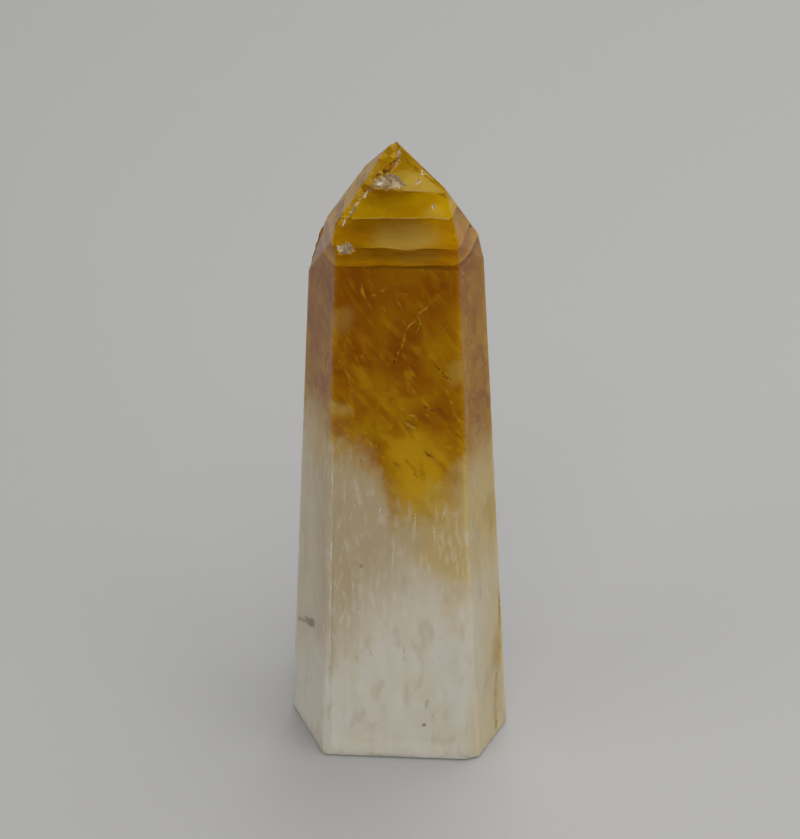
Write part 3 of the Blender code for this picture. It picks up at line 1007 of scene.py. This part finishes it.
# Painted highlight and painted reflection along the edges first, then the real healed splits in
# the milk.
threads_and_painted_lights = bmesh.new()
for corners, across, along, depth in PAINTED_EDGE_LIGHTS:
    torn_sheet(threads_and_painted_lights, corners, across, along, depth, *PAINTED_EDGE_LIGHT_LAY, scrap_chance)
for corners, across, along in FINE_THREADS:
    torn_sheet(threads_and_painted_lights, corners, across, along, *FINE_THREAD_LAY, scrap_chance)
thread_milk_and_painted_lights = plain_finish(
    "thread_milk_and_painted_lights", (0.76, 0.70, 0.55), (0.95, 0.92, 0.85), roughness=0.5, gloss=0.0, grain=260.0,
)
finish_piece("painted_edge_lights_and_threads", threads_and_painted_lights, thread_milk_and_painted_lights)

marks = bmesh.new()
for corners, across, along in DARK_MARKS:
    torn_sheet(marks, corners, across, along, *MARK_LAY, scrap_chance)
mark_grey = plain_finish(
    "mark_grey", (0.40, 0.34, 0.24), (0.52, 0.46, 0.34), roughness=0.6, gloss=0.0, grain=400.0,
)
finish_piece("dark_marks", marks, mark_grey)


# ---------------------------------------------------------------------------------------------
# The table top it stands on, the soft light, and the camera that looks down on it.

FLOOR_SIZE = 6.0
FLOOR_LEVEL = -0.05 * MM
FLOOR_GREY = (0.385, 0.380, 0.370, 1.0)
FLOOR_ROUGHNESS = 0.6
DAYLIGHT = (0.95, 0.96, 1.0, 1.0)
DAYLIGHT_STRENGTH = 0.26

bm = bmesh.new()
bmesh.ops.create_grid(
    bm, x_segments=1, y_segments=1, size=FLOOR_SIZE / 2,
    matrix=Matrix.Translation((0.0, 0.0, FLOOR_LEVEL)),
)
floor_mesh = bpy.data.meshes.new("floor")
bm.to_mesh(floor_mesh)
bm.free()
floor = bpy.data.objects.new("floor", floor_mesh)
bpy.context.scene.collection.objects.link(floor)
floor_material, floor_tree, floor_shader = new_material("pale_table")
floor_shader.inputs["Base Color"].default_value = FLOOR_GREY
floor_shader.inputs["Roughness"].default_value = FLOOR_ROUGHNESS
floor_mesh.materials.append(floor_material)

world = bpy.data.worlds.new("soft_daylight")
world.use_nodes = True
sky = world.node_tree.nodes["Background"]
sky.inputs["Color"].default_value = DAYLIGHT
sky.inputs["Strength"].default_value = DAYLIGHT_STRENGTH
bpy.context.scene.world = world

SOFTBOXES = (
    # name, place, the place it aims at, width and height (m), watts
    ("window_light", (0.35, 0.1, 0.9), (0.0, 0.0, 0.04), 1.0, 1.0, 6.0),
    ("left_fill", (-1.35, -0.75, 0.5), (0.0, 0.0, 0.05), 1.1, 0.8, 7.2),
    ("right_fill", (1.1, -0.9, 0.6), (0.0, 0.0, 0.05), 1.1, 0.8, 6.0),
    ("back_fill", (0.1, 1.3, 0.95), (0.0, 0.0, 0.05), 1.0, 0.8, 4.0),
    ("front_fill", (0.0, -0.9, 1.15), (0.0, 0.0, 0.05), 0.9, 0.5, 4.9),
)


def turned_to(direction):
    """The rotation that points a lamp or a camera along a direction."""
    return direction.to_track_quat("-Z", "Y").to_euler()


for name, place, aim, width, height, watts in SOFTBOXES:
    light = bpy.data.lights.new(name, "AREA")
    light.shape = "RECTANGLE"
    light.size = width
    light.size_y = height
    light.energy = watts
    lamp = bpy.data.objects.new(name, light)
    bpy.context.scene.collection.objects.link(lamp)
    lamp.location = place
    lamp.rotation_euler = turned_to(Vector(aim) - Vector(place))

CAMERA_AIM = Vector((0.09, -0.85, 55.1)) * MM
CAMERA_DISTANCE = 360.0 * MM
CAMERA_RISE = math.radians(34.0)
CAMERA_TURN = math.radians(3.2)
CAMERA_LENS = 107.9
SENSOR_WIDTH = 36.0
NEAREST_SEEN = 0.01
LIGHT_BOUNCES = 24  # enough to get through every layer of the crystal

camera_data = bpy.data.cameras.new("camera")
camera_data.lens = CAMERA_LENS
camera_data.sensor_width = SENSOR_WIDTH
camera_data.clip_start = NEAREST_SEEN
camera = bpy.data.objects.new("camera", camera_data)
bpy.context.scene.collection.objects.link(camera)
away = Vector(
    (
        math.sin(CAMERA_TURN) * math.cos(CAMERA_RISE),
        -math.cos(CAMERA_TURN) * math.cos(CAMERA_RISE),
        math.sin(CAMERA_RISE),
    )
)
camera.location = CAMERA_AIM + away * CAMERA_DISTANCE
camera.rotation_euler = turned_to(-away)
bpy.context.scene.camera = camera
bpy.context.scene.view_settings.view_transform = "Standard"
bpy.context.scene.cycles.max_bounces = LIGHT_BOUNCES
bpy.context.scene.cycles.transmission_bounces = LIGHT_BOUNCES
bpy.context.scene.cycles.transparent_max_bounces = LIGHT_BOUNCES
